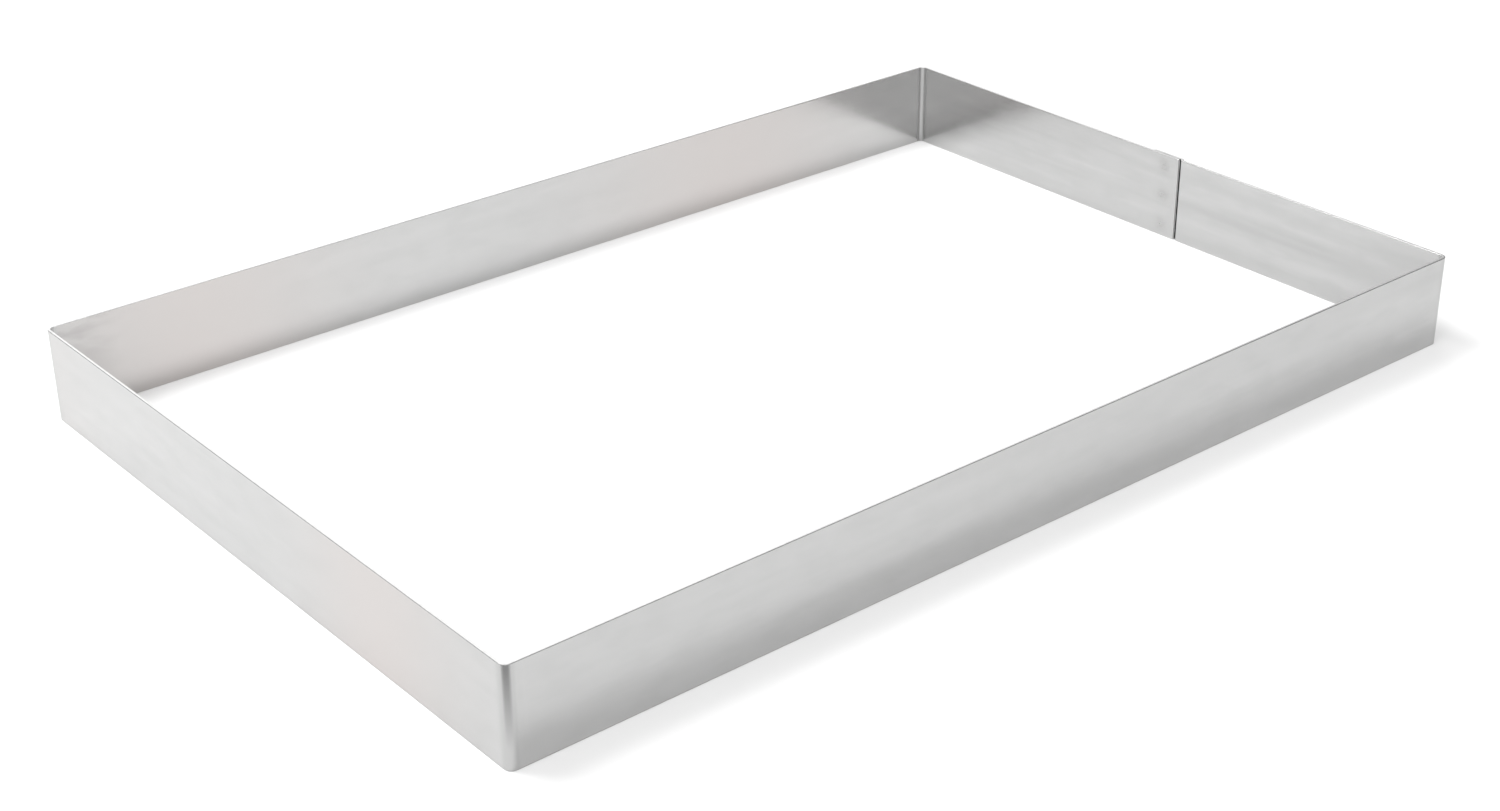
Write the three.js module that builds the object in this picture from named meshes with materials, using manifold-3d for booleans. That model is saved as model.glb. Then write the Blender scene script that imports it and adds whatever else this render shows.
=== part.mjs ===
// Baking frame: one strip of stainless steel, bent square at four corners and closed into a ring by a
// joggled lap joint with three spot welds in one short wall. The frame has no floor and no lid.
//
// Millimetres, +Z up. The frame stands on Z = 0 with its long walls along X and the lap joint in the
// +X wall. The origin is the middle of the floor area that the frame covers, lap joint included.

import * as THREE from 'three';
import { mergeVertices } from 'three/addons/utils/BufferGeometryUtils.js';
import Module from 'manifold-3d';

// Outside of the plain walls, and the strip that they are bent from
const FRAME_LENGTH = 600;
const FRAME_WIDTH = 400;
const FRAME_HEIGHT = 50;
const SHEET_THICKNESS = 1.5;
const BEND_INNER_RADIUS = 2.5;
const EDGE_ROUND = 0.25;

// Lap joint: one end of the strip steps outward and passes behind the other end
const SEAM_OFFSET = -15.5;
const SEAM_CLEARANCE = 0.2;
const LAP_LENGTH = 20;
const LAP_GAP = 0.3;
const JOGGLE_INNER_RADIUS = 0.75;

// Spot welds: a lens of fused metal between the laps, and the dished marks of the two electrodes
const WELD_EDGE_DISTANCE = 7;
const NUGGET_DIAMETER = 5;
const NUGGET_FACE_DIAMETER = 3.6;
const NUGGET_COVER = 0.6;
const NUGGET_CLEARANCE = 0.3;
const MARK_DIAMETER = 5;
const MARK_FLOOR_DIAMETER = 3.6;
const MARK_DEPTH = 0.12;

// Facets
const CORNER_STEPS = 10;
const JOGGLE_STEPS = 6;
const EDGE_STEPS = 2;
const WELD_SIDES = 24;
const NUGGET_STEPS = 6;

// Sizes that follow from the ones above
const rightAngle = Math.PI / 2;
const halfSheet = SHEET_THICKNESS / 2;
const edgeRound = Math.min(EDGE_ROUND, SHEET_THICKNESS / 3);
const lapStep = SHEET_THICKNESS + LAP_GAP;
const bendOuterRadius = BEND_INNER_RADIUS + SHEET_THICKNESS;
const bendMidRadius = BEND_INNER_RADIUS + halfSheet;
const joggleMidRadius = JOGGLE_INNER_RADIUS + halfSheet;
const joggleAngle = Math.acos(1 - lapStep / (2 * joggleMidRadius));
const joggleLength = 2 * joggleMidRadius * Math.sin(joggleAngle);
const longFlat = FRAME_LENGTH - 2 * bendOuterRadius;
const shortFlat = FRAME_WIDTH - 2 * bendOuterRadius;
const nuggetThickness = LAP_GAP + 2 * (SHEET_THICKNESS - NUGGET_COVER);

const wallOuterX = FRAME_LENGTH / 2;
const wallInnerX = wallOuterX - SHEET_THICKNESS;
const tabOuterX = wallOuterX + lapStep;
const lapMidX = wallOuterX + LAP_GAP / 2;
const weldY = SEAM_OFFSET + LAP_LENGTH / 2;
const weldHeights = {
	spot_weld_upper: FRAME_HEIGHT - WELD_EDGE_DISTANCE,
	spot_weld_middle: FRAME_HEIGHT / 2,
	spot_weld_lower: WELD_EDGE_DISTANCE,
};

const wasm = await Module();
wasm.setup();

// A closed geometry as a solid that can be cut, with the flattened triangles at a lathe's poles left out
function solidOf( geometry ) {
	const bare = geometry.clone();
	bare.deleteAttribute( 'normal' );
	bare.deleteAttribute( 'uv' );
	const merged = mergeVertices( bare );
	const index = merged.index.array;
	const triangles = [];
	for ( let i = 0; i < index.length; i += 3 ) {
		const [ a, b, c ] = index.subarray( i, i + 3 );
		if ( a !== b && b !== c && c !== a ) triangles.push( a, b, c );
	}
	return new wasm.Manifold( new wasm.Mesh( {
		numProp: 3,
		vertProperties: merged.attributes.position.array,
		triVerts: new Uint32Array( triangles ),
	} ) );
}

function geometryOf( solid ) {
	const mesh = solid.getMesh();
	const geometry = new THREE.BufferGeometry();
	geometry.setAttribute( 'position', new THREE.BufferAttribute( mesh.vertProperties, mesh.numProp ) );
	geometry.setIndex( new THREE.BufferAttribute( mesh.triVerts, 1 ) );
	geometry.computeVertexNormals();
	return geometry;
}

// The strip in the order of bending, from its plain end at the seam round to the end of the joggled tab.
// A bend to the left, seen from above, has a positive angle.
function stripMoves() {
	const corner = { angle: rightAngle, radius: bendMidRadius, steps: CORNER_STEPS };
	const joggleStart = SEAM_OFFSET - SEAM_CLEARANCE - joggleLength;
	return [
		{ flat: shortFlat / 2 - SEAM_OFFSET },
		corner,
		{ flat: longFlat },
		corner,
		{ flat: shortFlat },
		corner,
		{ flat: longFlat },
		corner,
		{ flat: shortFlat / 2 + joggleStart },
		{ angle: - joggleAngle, radius: joggleMidRadius, steps: JOGGLE_STEPS },
		{ angle: joggleAngle, radius: joggleMidRadius, steps: JOGGLE_STEPS },
		{ flat: SEAM_CLEARANCE + LAP_LENGTH },
	];
}

// Plan of one face of the strip, which lies by the offset to the left of the strip's mid-plane
function facePoints( moves, offset ) {
	const at = new THREE.Vector2( wallOuterX - halfSheet, SEAM_OFFSET );
	const ahead = new THREE.Vector2( 0, 1 );
	const origin = new THREE.Vector2();
	const toLeft = () => ahead.clone().rotateAround( origin, rightAngle );
	const points = [];
	const addPoint = () => points.push( at.clone().addScaledVector( toLeft(), offset ) );

	addPoint();
	for ( const move of moves ) {
		if ( move.flat !== undefined ) {
			at.addScaledVector( ahead, move.flat );
			addPoint();
			continue;
		}
		const centre = at.clone().addScaledVector( toLeft(), move.radius * Math.sign( move.angle ) );
		for ( let step = 0; step < move.steps; step ++ ) {
			at.rotateAround( centre, move.angle / move.steps );
			ahead.rotateAround( origin, move.angle / move.steps );
			addPoint();
		}
	}
	return points;
}

// The bent strip, with its upper and lower edges rounded over
function bentStrip() {
	const moves = stripMoves();
	const outerFace = facePoints( moves, - halfSheet );
	const innerFace = facePoints( moves, halfSheet );
	const plan = new THREE.Shape( [ ...outerFace, ...innerFace.reverse() ] );
	const strip = new THREE.ExtrudeGeometry( plan, {
		depth: FRAME_HEIGHT - 2 * edgeRound,
		bevelEnabled: true,
		bevelThickness: edgeRound,
		bevelSize: edgeRound,
		bevelOffset: - edgeRound,
		bevelSegments: EDGE_STEPS,
	} );
	return strip.translate( 0, 0, edgeRound );
}

// Lens of weld metal with flat ends, its axis along X, widened all round by a clearance
function nuggetLens( clearance ) {
	const halfThickness = nuggetThickness / 2;
	const faceRadius = NUGGET_FACE_DIAMETER / 2 + clearance;
	const bulge = ( NUGGET_DIAMETER - NUGGET_FACE_DIAMETER ) / 2;
	const profile = [ new THREE.Vector2( 0, - halfThickness ) ];
	for ( let step = 0; step <= NUGGET_STEPS; step ++ ) {
		const turn = Math.PI * ( step / NUGGET_STEPS - 1 / 2 );
		const radius = faceRadius + bulge * Math.cos( turn );
		profile.push( new THREE.Vector2( radius, halfThickness * Math.sin( turn ) ) );
	}
	profile.push( new THREE.Vector2( 0, halfThickness ) );
	return new THREE.LatheGeometry( profile, WELD_SIDES ).rotateZ( - rightAngle );
}

// The space that an electrode presses into a face that looks along +X
function electrodeDish() {
	const profile = [
		new THREE.Vector2( 0, - MARK_DEPTH ),
		new THREE.Vector2( MARK_FLOOR_DIAMETER / 2, - MARK_DEPTH ),
		new THREE.Vector2( MARK_DIAMETER / 2, 0 ),
		new THREE.Vector2( MARK_DIAMETER / 2, SHEET_THICKNESS ),
		new THREE.Vector2( 0, SHEET_THICKNESS ),
	];
	return new THREE.LatheGeometry( profile, WELD_SIDES ).rotateZ( - rightAngle );
}

// The strip with room for each nugget between its laps and an electrode mark on each side of it
function weldedStrip() {
	let strip = solidOf( bentStrip() );
	for ( const z of Object.values( weldHeights ) ) {
		const pocket = nuggetLens( NUGGET_CLEARANCE ).translate( lapMidX, weldY, z );
		const outerMark = electrodeDish().translate( tabOuterX, weldY, z );
		const innerMark = electrodeDish().rotateZ( Math.PI ).translate( wallInnerX, weldY, z );
		for ( const cut of [ pocket, outerMark, innerMark ] ) strip = strip.subtract( solidOf( cut ) );
	}
	return geometryOf( strip );
}

const stripSteel = new THREE.MeshStandardMaterial( { color: 0xc9c9c8, roughness: 0.34, metalness: 1 } );
const weldSteel = new THREE.MeshStandardMaterial( { color: 0xb4b2ae, roughness: 0.5, metalness: 1 } );

const bakingFrame = new THREE.Group();
bakingFrame.name = 'baking_frame';
bakingFrame.position.x = - lapStep / 2;

const strip = new THREE.Mesh( weldedStrip(), stripSteel );
strip.name = 'frame_strip';
bakingFrame.add( strip );

for ( const [ name, z ] of Object.entries( weldHeights ) ) {
	const nugget = new THREE.Mesh( nuggetLens( 0 ), weldSteel );
	nugget.name = name;
	nugget.position.set( lapMidX, weldY, z );
	bakingFrame.add( nugget );
}

export default bakingFrame;
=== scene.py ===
"""Dresses the baking frame: one bent strip of satin steel with a joggled, spot-welded lap joint."""
import math

import bpy
import numpy as np
from mathutils import Matrix, Vector, noise


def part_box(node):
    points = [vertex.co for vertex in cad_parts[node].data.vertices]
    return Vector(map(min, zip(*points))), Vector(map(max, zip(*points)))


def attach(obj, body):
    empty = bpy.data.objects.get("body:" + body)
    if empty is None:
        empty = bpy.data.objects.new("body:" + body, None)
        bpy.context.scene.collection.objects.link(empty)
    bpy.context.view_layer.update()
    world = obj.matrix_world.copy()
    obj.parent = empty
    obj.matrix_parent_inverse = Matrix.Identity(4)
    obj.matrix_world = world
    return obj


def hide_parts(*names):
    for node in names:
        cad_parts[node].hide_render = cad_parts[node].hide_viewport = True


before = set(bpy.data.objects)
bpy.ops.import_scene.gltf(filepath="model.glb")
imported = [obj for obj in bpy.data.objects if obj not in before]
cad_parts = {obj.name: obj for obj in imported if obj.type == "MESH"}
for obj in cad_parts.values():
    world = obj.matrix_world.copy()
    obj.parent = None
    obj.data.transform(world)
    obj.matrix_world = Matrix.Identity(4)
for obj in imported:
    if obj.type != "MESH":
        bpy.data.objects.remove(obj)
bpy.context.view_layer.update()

MM = 0.001
RIGHT_ANGLE = math.pi / 2

# Sizes of the strip and its lap joint, in millimetres, as the CAD model has them
SHEET_THICKNESS = 1.5
BEND_INNER_RADIUS = 2.5
EDGE_ROUND = 0.25
SEAM_OFFSET = -15.5
SEAM_CLEARANCE = 0.2
LAP_LENGTH = 20.0
LAP_GAP = 0.3
JOGGLE_INNER_RADIUS = 0.75
WELD_EDGE_DISTANCE = 7.0

# Overall sizes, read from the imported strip
strip_low, strip_high = (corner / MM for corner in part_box("frame_strip"))
HALF_SHEET = SHEET_THICKNESS / 2
LAP_STEP = SHEET_THICKNESS + LAP_GAP
FRAME_LENGTH = strip_high.x - strip_low.x - LAP_STEP
FRAME_WIDTH = strip_high.y - strip_low.y
FRAME_HEIGHT = strip_high.z
PLAN_CENTRE = Vector((strip_low.x + FRAME_LENGTH / 2, 0, 0))

BEND_OUTER_RADIUS = BEND_INNER_RADIUS + SHEET_THICKNESS
LONG_FLAT = FRAME_LENGTH - 2 * BEND_OUTER_RADIUS
SHORT_FLAT = FRAME_WIDTH - 2 * BEND_OUTER_RADIUS
JOGGLE_RADIUS = JOGGLE_INNER_RADIUS + HALF_SHEET
JOGGLE_ANGLE = math.acos(1 - LAP_STEP / (2 * JOGGLE_RADIUS))
JOGGLE_LENGTH = 2 * JOGGLE_RADIUS * math.sin(JOGGLE_ANGLE)
JOGGLE_START = SEAM_OFFSET - SEAM_CLEARANCE - JOGGLE_LENGTH
WELD_Y = SEAM_OFFSET + LAP_LENGTH / 2
WELD_HEIGHTS = (WELD_EDGE_DISTANCE, FRAME_HEIGHT / 2, FRAME_HEIGHT - WELD_EDGE_DISTANCE)

# Fineness of the strip's mesh: distances in millimetres, numbers of steps, the share of the ends' turn
# at their first station, and the angle in degrees from which the shading is sharp
FLAT_STEP = 10.0
ROW_STEP = 4.0
WELD_STEP = 0.6
WELD_REACH = 5.4
BESIDE_BEND = 1.0
BESIDE_EDGE = 0.35
LEAST_STEP = 0.02
CORNER_STEPS = 20
JOGGLE_STEPS = 8
EDGE_STEPS = 4
END_STEPS = 4
END_FIRST_TURN = 0.15
SHARP_ANGLE = 35

# Unevenness of the real sheet and the reach of its marks, in millimetres.
# A patch has the run along the strip to its middle, counted from the plain end at the seam, and its reach.
WAVE_HEIGHT = 0.07
WAVE_LENGTH = 140.0
WELD_MARK_DIAMETER = 5.0
WELD_MARK_DEPTH = 0.035
HEAT_DIAMETER = 9.0
DIE_MARK_REACH = 9.0
WARM_PATCHES = ((375, 90), (735, 75), (1115, 50))
SMUDGES = ((805, 30),)
STREAKED_FULLY = 115.0
STREAKS_FADE = 230.0
STREAKED_LEAST = 0.35

# Columns of the strip's stations
PLACE = slice(0, 2)
INWARD = slice(2, 4)
RUN = 4
BEND = 5

# Material slots of the strip's mesh
FACE = 0
CUT_EDGE = 1
OUTER_ARRIS = 2


def spread(low, high, step):
    """Even places from low to high, about a step apart."""
    return np.linspace(low, high, max(2, round((high - low) / step) + 1))


def merged(*places):
    """All the places in order, without those that nearly coincide."""
    ordered = np.sort(np.concatenate(places))
    keep = np.append(True, np.diff(ordered) > LEAST_STEP)
    return ordered[keep]


class Strip:
    """The strip's mid-plane as it is bent: stations with a place, an inward direction, a run and a bend."""

    def __init__(self):
        self.at = Vector((PLAN_CENTRE.x + FRAME_LENGTH / 2 - HALF_SHEET, SEAM_OFFSET))
        self.heading = RIGHT_ANGLE
        self.run = 0.0
        self.stations = []
        self.add(0.0)

    def inward(self):
        return Vector((-math.sin(self.heading), math.cos(self.heading)))

    def add(self, bend):
        self.stations.append((*self.at, *self.inward(), self.run, bend))

    def flat(self, length, weld_at=None):
        """A straight stretch, with close stations beside its ends and where it is welded."""
        start = self.at.copy()
        began = self.run
        ahead = Vector((math.cos(self.heading), math.sin(self.heading)))
        places = [spread(0, length, FLAT_STEP), (BESIDE_BEND, length - BESIDE_BEND)]
        if weld_at is not None:
            places.append(spread(weld_at - WELD_REACH, weld_at + WELD_REACH, WELD_STEP))
        for place in merged(*places)[1:]:
            self.at = start + ahead * place
            self.run = began + place
            self.add(0.0)

    def bend(self, angle, radius, steps, share):
        """A round stretch, to the left for a positive angle, whose finish shows a share of the bend."""
        side = math.copysign(1, angle)
        centre = self.at + self.inward() * radius * side
        for _ in range(steps):
            self.heading += angle / steps
            self.run += radius * abs(angle) / steps
            self.at = centre - self.inward() * radius * side
            self.add(share)

    def corner(self):
        self.bend(RIGHT_ANGLE, BEND_INNER_RADIUS + HALF_SHEET, CORNER_STEPS, share=1.0)


def bend_strip():
    """Bends the whole strip, from its plain end at the seam round to the end of the joggled tab."""
    strip = Strip()
    strip.flat(SHORT_FLAT / 2 - SEAM_OFFSET, weld_at=LAP_LENGTH / 2)
    strip.corner()
    strip.flat(LONG_FLAT)
    strip.corner()
    strip.flat(SHORT_FLAT)
    strip.corner()
    strip.flat(LONG_FLAT)
    strip.corner()
    strip.flat(SHORT_FLAT / 2 + JOGGLE_START)
    strip.bend(-JOGGLE_ANGLE, JOGGLE_RADIUS, JOGGLE_STEPS, share=0.0)
    strip.bend(JOGGLE_ANGLE, JOGGLE_RADIUS, JOGGLE_STEPS, share=0.0)
    strip.flat(SEAM_CLEARANCE + LAP_LENGTH, weld_at=SEAM_CLEARANCE + LAP_LENGTH / 2)
    return np.array(strip.stations)


def rounded_ends(stations):
    """The stations with a few more at both ends, and each section's inset, which rounds the ends over."""
    turn = np.linspace(END_FIRST_TURN, 1, END_STEPS) * RIGHT_ANGLE
    depth = EDGE_ROUND * (1 - np.cos(turn))
    shrunk = EDGE_ROUND * (1 - np.sin(turn))
    inward_x, inward_y = stations[0, INWARD]
    ahead = np.array([inward_y, -inward_x])
    head = np.repeat(stations[:1], END_STEPS, 0)
    tail = np.repeat(stations[-1:], END_STEPS, 0)
    head[:, PLACE] += depth[:, None] * ahead
    head[:, RUN] += depth
    tail[:, PLACE] -= depth[::-1, None] * ahead
    tail[:, RUN] -= depth[::-1]
    inset = np.concatenate([shrunk, np.zeros(len(stations) - 2), shrunk[::-1]])
    return np.concatenate([head, stations[1:-1], tail]), inset


def half_section(inset):
    """Half of the section, from the lower edge up one face: offsets from the mid-plane, and heights."""
    rows = merged(
        spread(EDGE_ROUND, FRAME_HEIGHT - EDGE_ROUND, ROW_STEP),
        (EDGE_ROUND + BESIDE_EDGE, FRAME_HEIGHT - EDGE_ROUND - BESIDE_EDGE),
        *(spread(z - WELD_REACH, z + WELD_REACH, WELD_STEP) for z in WELD_HEIGHTS),
    )
    turn = np.linspace(0, RIGHT_ANGLE, EDGE_STEPS + 1)[:-1]
    radius = EDGE_ROUND - inset
    centre = HALF_SHEET - EDGE_ROUND
    round_out = centre + radius * np.sin(turn)
    round_down = EDGE_ROUND - radius * np.cos(turn)
    offsets = np.concatenate([round_out, np.full(len(rows), centre + radius), round_out[::-1]])
    heights = np.concatenate([round_down, rows, (FRAME_HEIGHT - round_down)[::-1]])
    return offsets, heights


def near_weld(y, z):
    """Distance from the nearest weld's axis, for places on the lapped wall."""
    return np.min([np.hypot(y - WELD_Y, z - weld_z) for weld_z in WELD_HEIGHTS], axis=0)


def patches(run, places):
    """How strongly soft patches along the strip show at each run."""
    return sum(np.exp(-((run - middle) / reach) ** 2) for middle, reach in places)


def waves(place, heights):
    """How far the sheet waves in and out, for each station and height."""
    return np.array([
        [WAVE_HEIGHT * noise.noise(Vector((x, y, z)) / WAVE_LENGTH) for z in row]
        for (x, y), row in zip(place, heights)
    ])


def strip_surface():
    """Vertices by station, face and height, with the inner face first, and the runs and marks at them."""
    stations, inset = rounded_ends(bend_strip())
    sections = [half_section(one) for one in inset]
    offsets = np.array([offset for offset, _ in sections])
    heights = np.array([height for _, height in sections])
    place, inward, run = stations[:, PLACE], stations[:, INWARD], stations[:, RUN]

    on_plain_lap = (run < LAP_LENGTH)[:, None]
    on_tab = (run > run[-1] - LAP_LENGTH - SEAM_CLEARANCE)[:, None]
    away = near_weld(place[:, 1:], heights)
    dish = WELD_MARK_DEPTH * np.clip(1 - (2 * away / WELD_MARK_DIAMETER) ** 2, 0, 1)
    wave = waves(place, heights)
    inner = wave + offsets - dish * on_plain_lap
    outer = wave - offsets + dish * on_tab
    points = np.zeros((len(stations), 2, heights.shape[1], 3))
    for face, depth in enumerate((inner, outer)):
        points[:, face, :, :2] = place[:, None, :] + inward[:, None, :] * depth[:, :, None]
        points[:, face, :, 2] = heights

    heat = np.exp(-(2 * away / HEAT_DIAMETER) ** 2) * (on_plain_lap | on_tab)
    marks = strip_marks(run, stations[:, BEND], heat)
    return points, run[:, None, None], marks


def strip_marks(run, bend, heat):
    """The marks that the finish shows, and the painted shade on the bends' inner side, as arrays that
    spread over stations, faces and heights.
    """
    from_seam = np.minimum(run, run[-1] - run)
    streaky = np.clip(1 - (from_seam - STREAKED_FULLY) / STREAKS_FADE, STREAKED_LEAST, 1)
    from_bend = np.min(np.abs(run[:, None] - run[None, bend > 0]), axis=1)
    pressed = np.clip(1 - from_bend / DIE_MARK_REACH, 0, 1)
    inner_only = np.array([1.0, 0.0])[None, :, None]
    return {
        "bend": pressed[:, None, None],
        # The inner side of each bend: rougher there, and drawn darker as painted shade
        "crease_mark_and_shade": bend[:, None, None] * inner_only,
        "weld_heat": heat[:, None, :],
        "warm": patches(run, WARM_PATCHES)[:, None, None],
        "smudge": patches(run, SMUDGES)[:, None, None] * inner_only,
        "streaky": streaky[:, None, None],
    }


def strip_faces(count, rows):
    """Quads over both faces, both edges and both ends, and the material slot of each."""
    index = np.arange(count * 2 * rows).reshape(count, 2, rows)
    inner, outer = index[:, 0], index[:, 1]
    rounded = np.zeros(rows - 1, bool)
    rounded[:EDGE_STEPS] = True
    rounded[-EDGE_STEPS:] = True
    inner_slots = np.where(rounded, CUT_EDGE, FACE)
    outer_slots = np.where(rounded, OUTER_ARRIS, FACE)
    quads, slots = [], []

    def cover(a, b, c, d, slot):
        quads.append(np.stack([part.ravel() for part in (a, b, c, d)], axis=1))
        slots.append(np.broadcast_to(slot, a.shape).ravel())

    cover(inner[:-1, :-1], inner[:-1, 1:], inner[1:, 1:], inner[1:, :-1], inner_slots)
    cover(outer[:-1, :-1], outer[1:, :-1], outer[1:, 1:], outer[:-1, 1:], outer_slots)
    cover(inner[:-1, -1], outer[:-1, -1], outer[1:, -1], inner[1:, -1], CUT_EDGE)
    cover(inner[:-1, 0], inner[1:, 0], outer[1:, 0], outer[:-1, 0], CUT_EDGE)
    cover(inner[0, :-1], outer[0, :-1], outer[0, 1:], inner[0, 1:], CUT_EDGE)
    cover(inner[-1, :-1], inner[-1, 1:], outer[-1, 1:], outer[-1, :-1], CUT_EDGE)
    return np.concatenate(quads), np.concatenate(slots)


def make_strip(*materials):
    """The visible strip, with its run and height as a texture map and its marks as attributes."""
    points, run, marks = strip_surface()
    quads, slots = strip_faces(points.shape[0], points.shape[2])
    mesh = bpy.data.meshes.new("steel_strip")
    mesh.from_pydata((points.reshape(-1, 3) * MM).tolist(), [], quads.tolist())
    for material in materials:
        mesh.materials.append(material)
    mesh.polygons.foreach_set("material_index", slots.astype(np.int32))
    mesh.polygons.foreach_set("use_smooth", np.ones(len(quads), bool))

    corner_vertex = np.zeros(len(mesh.loops), np.int32)
    mesh.loops.foreach_get("vertex_index", corner_vertex)
    heights = points[..., 2]
    grain = np.stack([np.broadcast_to(run, heights.shape), heights], -1).reshape(-1, 2) * MM
    grain_map = mesh.uv_layers.new(name="Grain")
    grain_map.data.foreach_set("uv", grain[corner_vertex].astype(np.float32).ravel())
    for name, mark in marks.items():
        values = mesh.attributes.new(name, "FLOAT", "POINT")
        values.data.foreach_set("value", np.broadcast_to(mark, heights.shape).astype(np.float32).ravel())
    mesh.set_sharp_from_angle(angle=math.radians(SHARP_ANGLE))
    mesh.validate()
    strip = bpy.data.objects.new("steel_strip", mesh)
    bpy.context.scene.collection.objects.link(strip)
    return strip


# Sockets for colours on a mix node, which has sockets of the same names for other kinds of data
MIX_COLOUR_A = 6
MIX_COLOUR_B = 7
MIX_COLOUR = 2


class Nodes:
    """The node tree of a new material or world, with short calls to add and join nodes."""

    def __init__(self, owner, shader="Principled BSDF"):
        owner.use_nodes = True
        self.owner = owner
        self.tree = owner.node_tree
        self.shader = self.tree.nodes[shader]

    def add(self, kind, **settings):
        node = self.tree.nodes.new(kind)
        for key, value in settings.items():
            setattr(node, key, value)
        return node

    def put(self, socket, value):
        """Joins a socket to another, or sets it to a plain value."""
        if isinstance(value, bpy.types.NodeSocket):
            self.tree.links.new(value, socket)
        else:
            socket.default_value = value

    def shade(self, **values):
        """Sets or joins the shader's own sockets. An underscore in a name stands for a space."""
        for name, value in values.items():
            self.put(self.shader.inputs[name.replace("_", " ")], value)

    def math(self, operation, a, b=0.0):
        node = self.add("ShaderNodeMath", operation=operation)
        self.put(node.inputs[0], a)
        self.put(node.inputs[1], b)
        return node.outputs[0]

    def times(self, a, b):
        return self.math("MULTIPLY", a, b)

    def total(self, first, *others):
        for other in others:
            first = self.math("ADD", first, other)
        return first

    def noise(self, vector, scale, detail, roughness):
        node = self.add("ShaderNodeTexNoise")
        settings = {"Vector": vector, "Scale": scale, "Detail": detail, "Roughness": roughness}
        for name, value in settings.items():
            self.put(node.inputs[name], value)
        return node.outputs["Fac"]

    def pattern(self, place, along, up, detail, roughness):
        """Noise with so many features per metre along and up the strip."""
        node = self.add("ShaderNodeMapping")
        self.put(node.inputs["Vector"], place)
        self.put(node.inputs["Scale"], (along, up, 1))
        return self.noise(node.outputs["Vector"], 1.0, detail, roughness)

    def between(self, value, band, to=(0, 1), interpolation="LINEAR"):
        """Maps a band of values, with what lies outside it held at its ends."""
        node = self.add("ShaderNodeMapRange", clamp=True, interpolation_type=interpolation)
        self.put(node.inputs["Value"], value)
        for name, number in zip(("From Min", "From Max", "To Min", "To Max"), (*band, *to)):
            self.put(node.inputs[name], number)
        return node.outputs["Result"]

    def mix(self, share, a, b):
        node = self.add("ShaderNodeMix", data_type="RGBA")
        self.put(node.inputs["Factor"], share)
        self.put(node.inputs[MIX_COLOUR_A], a)
        self.put(node.inputs[MIX_COLOUR_B], b)
        return node.outputs[MIX_COLOUR]

    def attribute(self, name):
        return self.add("ShaderNodeAttribute", attribute_name=name).outputs["Fac"]

    def grain_map(self):
        return self.add("ShaderNodeUVMap", uv_map="Grain").outputs["UV"]

    def coordinate(self, name):
        return self.add("ShaderNodeTexCoord").outputs[name]

    def bump(self, height, strength, depth):
        """A normal bent by a height, with the full depth in millimetres."""
        node = self.add("ShaderNodeBump")
        self.put(node.inputs["Height"], height)
        self.put(node.inputs["Strength"], strength)
        self.put(node.inputs["Distance"], depth * MM)
        return node.outputs["Normal"]


# Colours of the metal
STEEL = (0.50, 0.50, 0.498, 1)
STEEL_CLOUD = (0.512, 0.512, 0.51, 1)
STEEL_PALE = (0.545, 0.545, 0.543, 1)
STEEL_DULL = (0.465, 0.465, 0.463, 1)
STEEL_WARM = (0.525, 0.5, 0.49, 1)
STEEL_BENT = (0.468, 0.468, 0.466, 1)
# Painted shade: the inner side of each bend is darker than the faces
STEEL_PAINTED_CREASE_SHADE = (0.40, 0.40, 0.398, 1)
STEEL_HEATED = (0.36, 0.355, 0.35, 1)
STEEL_SCUFFED = (0.35, 0.35, 0.352, 1)
# Painted highlight: the cut edges, the rims' tops and the inner arrises are far lighter than the faces, so
# that they show bright
CUT_STEEL_PAINTED_HIGHLIGHT = (0.76, 0.76, 0.757, 1)
CUT_STEEL_PAINTED_HIGHLIGHT_DIM = (0.68, 0.68, 0.677, 1)
# Painted shade: the outer arrises are far darker than the faces, which draws dark lines along the edges
ARRIS_PAINTED_SHADE = (0.30, 0.30, 0.298, 1)
ARRIS_PAINTED_SHADE_LIGHTER = (0.40, 0.40, 0.398, 1)

# Patterns of the finish: features per metre along and up the strip, then the noise's detail and roughness
GRAIN = (18, 2600, 3.0, 0.6)
STREAKS = (5, 110, 3.0, 0.5)
CLOUDS = (9, 22, 3.0, 0.5)
PRESS_LINES = (700, 5, 2.0, 0.5)
SCUFFS = (45, 110, 3.0, 0.55)
EDGE_MARKS = (400, 300, 2.0, 0.5)
EDGE_WEAR = (26, 40, 2.0, 0.5)
WELD_GRAIN = (2500.0, 3.0, 0.6)

# Bands of a pattern or mark over which its effect sets in, and the greatest share of some effects
MOST_NOISE = (0.3, 0.7)
MIDDLE_NOISE = (0.35, 0.65)
PALE_STREAKS = (0.52, 0.7)
DULL_STREAKS = (0.48, 0.3)
MOTTLED = (0.45, 0.65)
MOTTLED_SHARE = 0.45
SMUDGED = (0.42, 0.62)
PRESSED_LINES = (0.5, 0.7)
BENT = (0.75, 0.95)
HEATED_SHARE = 0.36

# Roughness, and what the marks add to it
GRAIN_ROUGHNESS = (0.15, 0.21)
CLOUD_ROUGHNESS = (-0.02, 0.03)
HEATED_ROUGHNESS = 0.1
PRESSED_ROUGHNESS = 0.05
CREASED_ROUGHNESS = 0.1
CUT_ROUGHNESS = (0.26, 0.34)
ARRIS_ROUGHNESS = (0.36, 0.46)
WELD_ROUGHNESS = (0.4, 0.55)

# Relief of the surfaces: a strength, and a depth in millimetres
STEEL_RELIEF = (0.09, 0.04)
EDGE_RELIEF = (0.05, 0.02)
WELD_RELIEF = (0.3, 0.05)
PRESSED_RELIEF = 2.5

# Gloss drawn out across the grain
ANISOTROPY = 0.35
ANISOTROPY_TURN = 0.25


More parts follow.
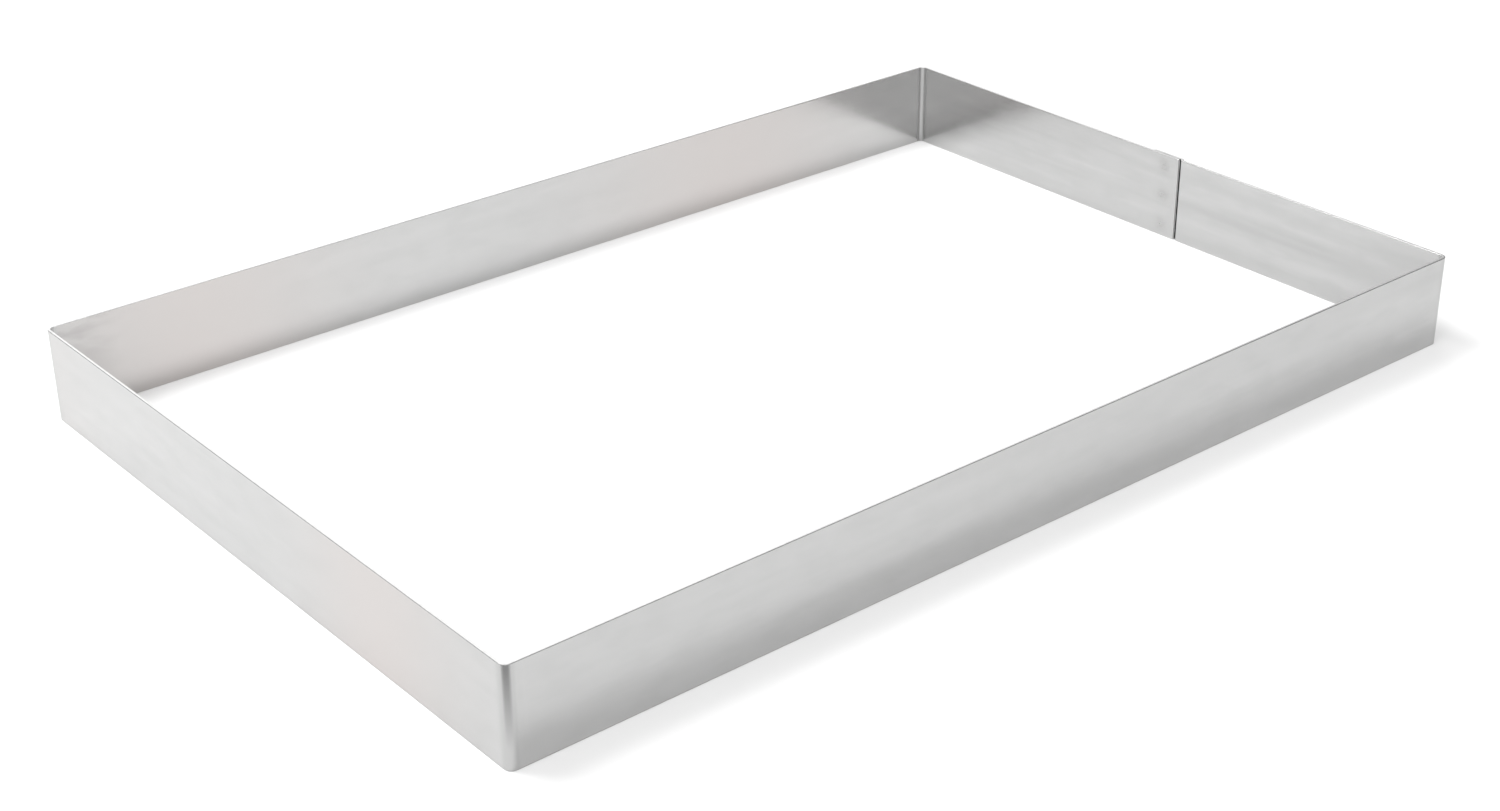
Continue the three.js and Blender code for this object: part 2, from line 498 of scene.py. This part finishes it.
def satin_steel():
    """Cold-rolled sheet with a fine grain along it, faint streaks, pressed bends, heated welds and painted
    shade on the inner side of its bends.
    """
    n = Nodes(bpy.data.materials.new("satin_steel"))
    place = n.grain_map()
    grain = n.pattern(place, *GRAIN)
    streak = n.pattern(place, *STREAKS)
    cloud = n.pattern(place, *CLOUDS)
    across = n.pattern(place, *PRESS_LINES)
    scuff = n.pattern(place, *SCUFFS)
    bend = n.attribute("bend")
    crease_mark_and_shade = n.attribute("crease_mark_and_shade")
    heat = n.attribute("weld_heat")
    smudge = n.attribute("smudge")
    streaky = n.attribute("streaky")

    colour = n.mix(n.between(cloud, MOST_NOISE), STEEL, STEEL_CLOUD)
    colour = n.mix(n.times(n.between(streak, PALE_STREAKS), streaky), colour, STEEL_PALE)
    colour = n.mix(n.times(n.between(streak, DULL_STREAKS), streaky), colour, STEEL_DULL)
    colour = n.mix(n.between(scuff, MOTTLED, (0, MOTTLED_SHARE)), colour, STEEL_DULL)
    colour = n.mix(n.times(n.between(scuff, SMUDGED), smudge), colour, STEEL_SCUFFED)
    colour = n.mix(n.times(n.between(across, PRESSED_LINES), bend), colour, STEEL_PALE)
    colour = n.mix(n.attribute("warm"), colour, STEEL_WARM)
    colour = n.mix(n.between(bend, BENT), colour, STEEL_BENT)
    # Painted shade: the inner side of each bend is drawn darker
    colour = n.mix(crease_mark_and_shade, colour, STEEL_PAINTED_CREASE_SHADE)
    colour = n.mix(n.times(heat, HEATED_SHARE), colour, STEEL_HEATED)

    roughness = n.total(
        n.between(grain, MOST_NOISE, GRAIN_ROUGHNESS),
        n.between(cloud, MOST_NOISE, CLOUD_ROUGHNESS),
        n.times(heat, HEATED_ROUGHNESS),
        n.times(bend, PRESSED_ROUGHNESS),
        n.times(crease_mark_and_shade, CREASED_ROUGHNESS),
    )
    relief = n.total(grain, n.times(n.times(across, bend), PRESSED_RELIEF))
    tangent = n.add("ShaderNodeTangent", direction_type="UV_MAP", uv_map="Grain")
    n.shade(Base_Color=colour, Metallic=1.0, Roughness=roughness, Normal=n.bump(relief, *STEEL_RELIEF))
    n.shade(Anisotropic=ANISOTROPY, Anisotropic_Rotation=ANISOTROPY_TURN)
    n.shade(Tangent=tangent.outputs["Tangent"])
    return n.owner


def edge_steel(name, dark, bright, roughness):
    """Metal of the sheet's edges, with short marks across the thickness and wear along the strip in its
    roughness. The colours given to it carry painted light: a painted highlight on the cut edges, a painted
    shade on the outer arrises.
    """
    n = Nodes(bpy.data.materials.new(name))
    place = n.grain_map()
    marks = n.pattern(place, *EDGE_MARKS)
    worn = n.pattern(place, *EDGE_WEAR)
    colour = n.mix(n.between(marks, MIDDLE_NOISE), dark, bright)
    roughness = n.between(worn, MIDDLE_NOISE, roughness)
    n.shade(Base_Color=colour, Metallic=1.0, Roughness=roughness, Normal=n.bump(marks, *EDGE_RELIEF))
    return n.owner


def weld_metal():
    """Cast, dull metal of the spot welds, which lie between the laps."""
    n = Nodes(bpy.data.materials.new("weld_metal"))
    grain = n.noise(n.coordinate("Object"), *WELD_GRAIN)
    colour = n.mix(grain, STEEL_HEATED, STEEL)
    roughness = n.between(grain, MOST_NOISE, WELD_ROUGHNESS)
    n.shade(Base_Color=colour, Metallic=1.0, Roughness=roughness, Normal=n.bump(grain, *WELD_RELIEF))
    return n.owner


# The photograph's camera, found from the frame's edges: angles in degrees, sizes in millimetres.
# The aim is given from the middle of the frame's plan on the floor, along the picture's own axes.
CAMERA_AZIMUTH = -39.563
CAMERA_ELEVATION = 27.182
CAMERA_ROLL = -0.479
CAMERA_DISTANCE = 1253.7
CAMERA_AIM_RIGHT = -8.19
CAMERA_AIM_UP = -13.84
PICTURE_WIDTH = 1500
FOCAL_PIXELS = 2409.7
SENSOR_WIDTH = 36.0

# What the camera sees, from nearest to farthest, in metres
CAMERA_CLIP = (0.05, 50.0)

# The floor: a white sheet in metres, just under the frame's lower edge in millimetres
FLOOR_SIZE = 14.0
FLOOR_DROP = 0.05
FLOOR_WHITE = (0.82, 0.82, 0.82, 1)
FLOOR_SHADE = (0.80, 0.80, 0.80, 1)
FLOOR_CLOUDS = (3.0, 2.0, 0.5)
FLOOR_ROUGHNESS = 0.9
FLOOR_GLOSS = 0.1

# Directions: up, and on the level to the back and to the left of the picture
UP = Vector((0, 0, 1))
PICTURE_BACK = Vector((0.636, 0.772, 0.0))
PICTURE_LEFT = Vector((-0.772, 0.636, 0.0))

# The surround: a broad overhead light that leans towards the camera, a bright backdrop and a dim room.
# An edge has the cosines of the angles from a light's middle at which it starts and at which it is full.
OVERHEAD_TOWARDS = Vector((-0.55, -0.66, 1)).normalized()
OVERHEAD_EDGE = (0.55, 0.88)
OVERHEAD_RADIANCE = 1.88
BACKDROP_TO_LEFT = 0.30
BACKDROP_RISE = 0.52
BACKDROP_TOWARDS = (PICTURE_BACK + BACKDROP_TO_LEFT * PICTURE_LEFT + BACKDROP_RISE * UP).normalized()
BACKDROP_EDGE = (0.80, 0.97)
BACKDROP_RADIANCE = 1.1
ROOM_RADIANCE = 0.30
WHITE = (1, 1, 1, 1)

# A soft lamp high on the left, in metres
LAMP_PLACE = Vector((-0.65, 0.72, 1.95))
LAMP_AIM = Vector((-0.3, 0.0, 0.0))
LAMP_SIZE = 0.9
LAMP_WATTS = 29.8

# A small dark flag before the near corner, in millimetres
FLAG_GAP = 5.0
FLAG_HALF_WIDTH = 12.0
FLAG_CORE = 3.0
FLAG_LOW = 6.0
FLAG_HIGH = 48.0
FLAG_SHARE = 0.68
FLAG_GREY = (0.03, 0.03, 0.03, 1)
FLAG_ROUGHNESS = 0.9


def flat_sheet(name, corners, material):
    """A flat sheet of the stage, which isn't part of the object."""
    mesh = bpy.data.meshes.new(name)
    mesh.from_pydata(corners, [], [tuple(range(len(corners)))])
    mesh.materials.append(material)
    sheet = bpy.data.objects.new(name, mesh)
    bpy.context.scene.collection.objects.link(sheet)
    return sheet


def make_floor():
    """The plain white floor."""
    n = Nodes(bpy.data.materials.new("white_floor"))
    clouds = n.noise(n.coordinate("Object"), *FLOOR_CLOUDS)
    n.shade(Base_Color=n.mix(clouds, FLOOR_WHITE, FLOOR_SHADE), Roughness=FLOOR_ROUGHNESS)
    n.shade(Specular_IOR_Level=FLOOR_GLOSS)
    half = FLOOR_SIZE / 2
    corners = [(-half, -half, 0), (half, -half, 0), (half, half, 0), (-half, half, 0)]
    floor = flat_sheet("floor", corners, n.owner)
    floor.location.z = -FLOOR_DROP * MM


def make_flag():
    """A soft-edged dark flag before the near corner. Only reflections see it, and it darkens the bend."""
    n = Nodes(bpy.data.materials.new("dark_flag"))
    half, core, low, high = (size * MM for size in (FLAG_HALF_WIDTH, FLAG_CORE, FLAG_LOW, FLAG_HIGH))
    place = n.add("ShaderNodeSeparateXYZ")
    n.put(place.inputs[0], n.coordinate("Object"))
    up = n.between(place.outputs["Z"], (low, high), (0, FLAG_SHARE))
    side = n.between(n.math("ABSOLUTE", place.outputs["X"]), (core, half), (1, 0))
    n.shade(Base_Color=FLAG_GREY, Roughness=FLAG_ROUGHNESS, Alpha=n.times(up, side))
    corners = [(-half, 0, low), (half, 0, low), (half, 0, high), (-half, 0, high)]
    flag = flat_sheet("dark_flag", corners, n.owner)
    bend_axis = PLAN_CENTRE - Vector((LONG_FLAT / 2, SHORT_FLAT / 2, 0))
    flag.location = (bend_axis - PICTURE_BACK * (BEND_OUTER_RADIUS + FLAG_GAP)) * MM
    flag.rotation_euler.z = math.radians(CAMERA_AZIMUTH)
    flag.visible_camera = False
    flag.visible_diffuse = False
    flag.visible_shadow = False


def make_lamp():
    """The lamp that gives the walls their soft shadows."""
    light = bpy.data.lights.new("left_lamp", "AREA")
    light.shape = "SQUARE"
    light.size = LAMP_SIZE
    light.energy = LAMP_WATTS
    lamp = bpy.data.objects.new("left_lamp", light)
    lamp.location = LAMP_PLACE
    lamp.rotation_mode = "QUATERNION"
    lamp.rotation_quaternion = (LAMP_AIM - LAMP_PLACE).to_track_quat("-Z", "Y")
    bpy.context.scene.collection.objects.link(lamp)


def make_surround():
    """Light from the whole surround, by the direction that it comes from."""
    n = Nodes(bpy.data.worlds.new("studio"), "Background")
    direction = n.coordinate("Generated")

    def glow(towards, edge, radiance):
        facing = n.add("ShaderNodeVectorMath", operation="DOT_PRODUCT")
        n.put(facing.inputs[0], direction)
        n.put(facing.inputs[1], towards)
        return n.between(facing.outputs["Value"], edge, (0, radiance), "SMOOTHSTEP")

    overhead = glow(OVERHEAD_TOWARDS, OVERHEAD_EDGE, OVERHEAD_RADIANCE)
    backdrop = glow(BACKDROP_TOWARDS, BACKDROP_EDGE, BACKDROP_RADIANCE)
    n.shade(Color=WHITE, Strength=n.total(overhead, backdrop, ROOM_RADIANCE))
    bpy.context.scene.world = n.owner


def make_camera():
    """The photograph's camera."""
    azimuth, elevation, roll = (math.radians(a) for a in (CAMERA_AZIMUTH, CAMERA_ELEVATION, CAMERA_ROLL))
    level = math.cos(elevation)
    back = Vector((math.sin(azimuth) * level, -math.cos(azimuth) * level, math.sin(elevation)))
    right = Vector((math.cos(azimuth), math.sin(azimuth), 0))
    turn = Matrix.Rotation(roll, 3, back)
    right, up = turn @ right, turn @ back.cross(right)
    place = PLAN_CENTRE + right * CAMERA_AIM_RIGHT + up * CAMERA_AIM_UP + back * CAMERA_DISTANCE

    lens = bpy.data.cameras.new("camera")
    lens.sensor_fit = "HORIZONTAL"
    lens.sensor_width = SENSOR_WIDTH
    lens.lens = FOCAL_PIXELS / PICTURE_WIDTH * SENSOR_WIDTH
    lens.clip_start, lens.clip_end = CAMERA_CLIP
    camera = bpy.data.objects.new("camera", lens)
    axes = Matrix((right, up, back)).transposed().to_4x4()
    camera.matrix_world = Matrix.Translation(place * MM) @ axes
    bpy.context.scene.collection.objects.link(camera)
    bpy.context.scene.camera = camera


make_camera()
make_floor()
make_flag()
make_lamp()
make_surround()
bpy.context.scene.view_settings.view_transform = "Standard"

strip = make_strip(
    satin_steel(),
    # The cut edges' light colours are a painted highlight
    edge_steel("cut_steel_painted_highlight", CUT_STEEL_PAINTED_HIGHLIGHT_DIM, CUT_STEEL_PAINTED_HIGHLIGHT, CUT_ROUGHNESS),
    # The outer arrises' dark colours are a painted shade
    edge_steel("edge_steel", ARRIS_PAINTED_SHADE, ARRIS_PAINTED_SHADE_LIGHTER, ARRIS_ROUGHNESS),
)
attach(strip, "root")
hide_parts("frame_strip")

weld_finish = weld_metal()
for name in ("spot_weld_upper", "spot_weld_middle", "spot_weld_lower"):
    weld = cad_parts[name]
    weld.data.materials.clear()
    weld.data.materials.append(weld_finish)
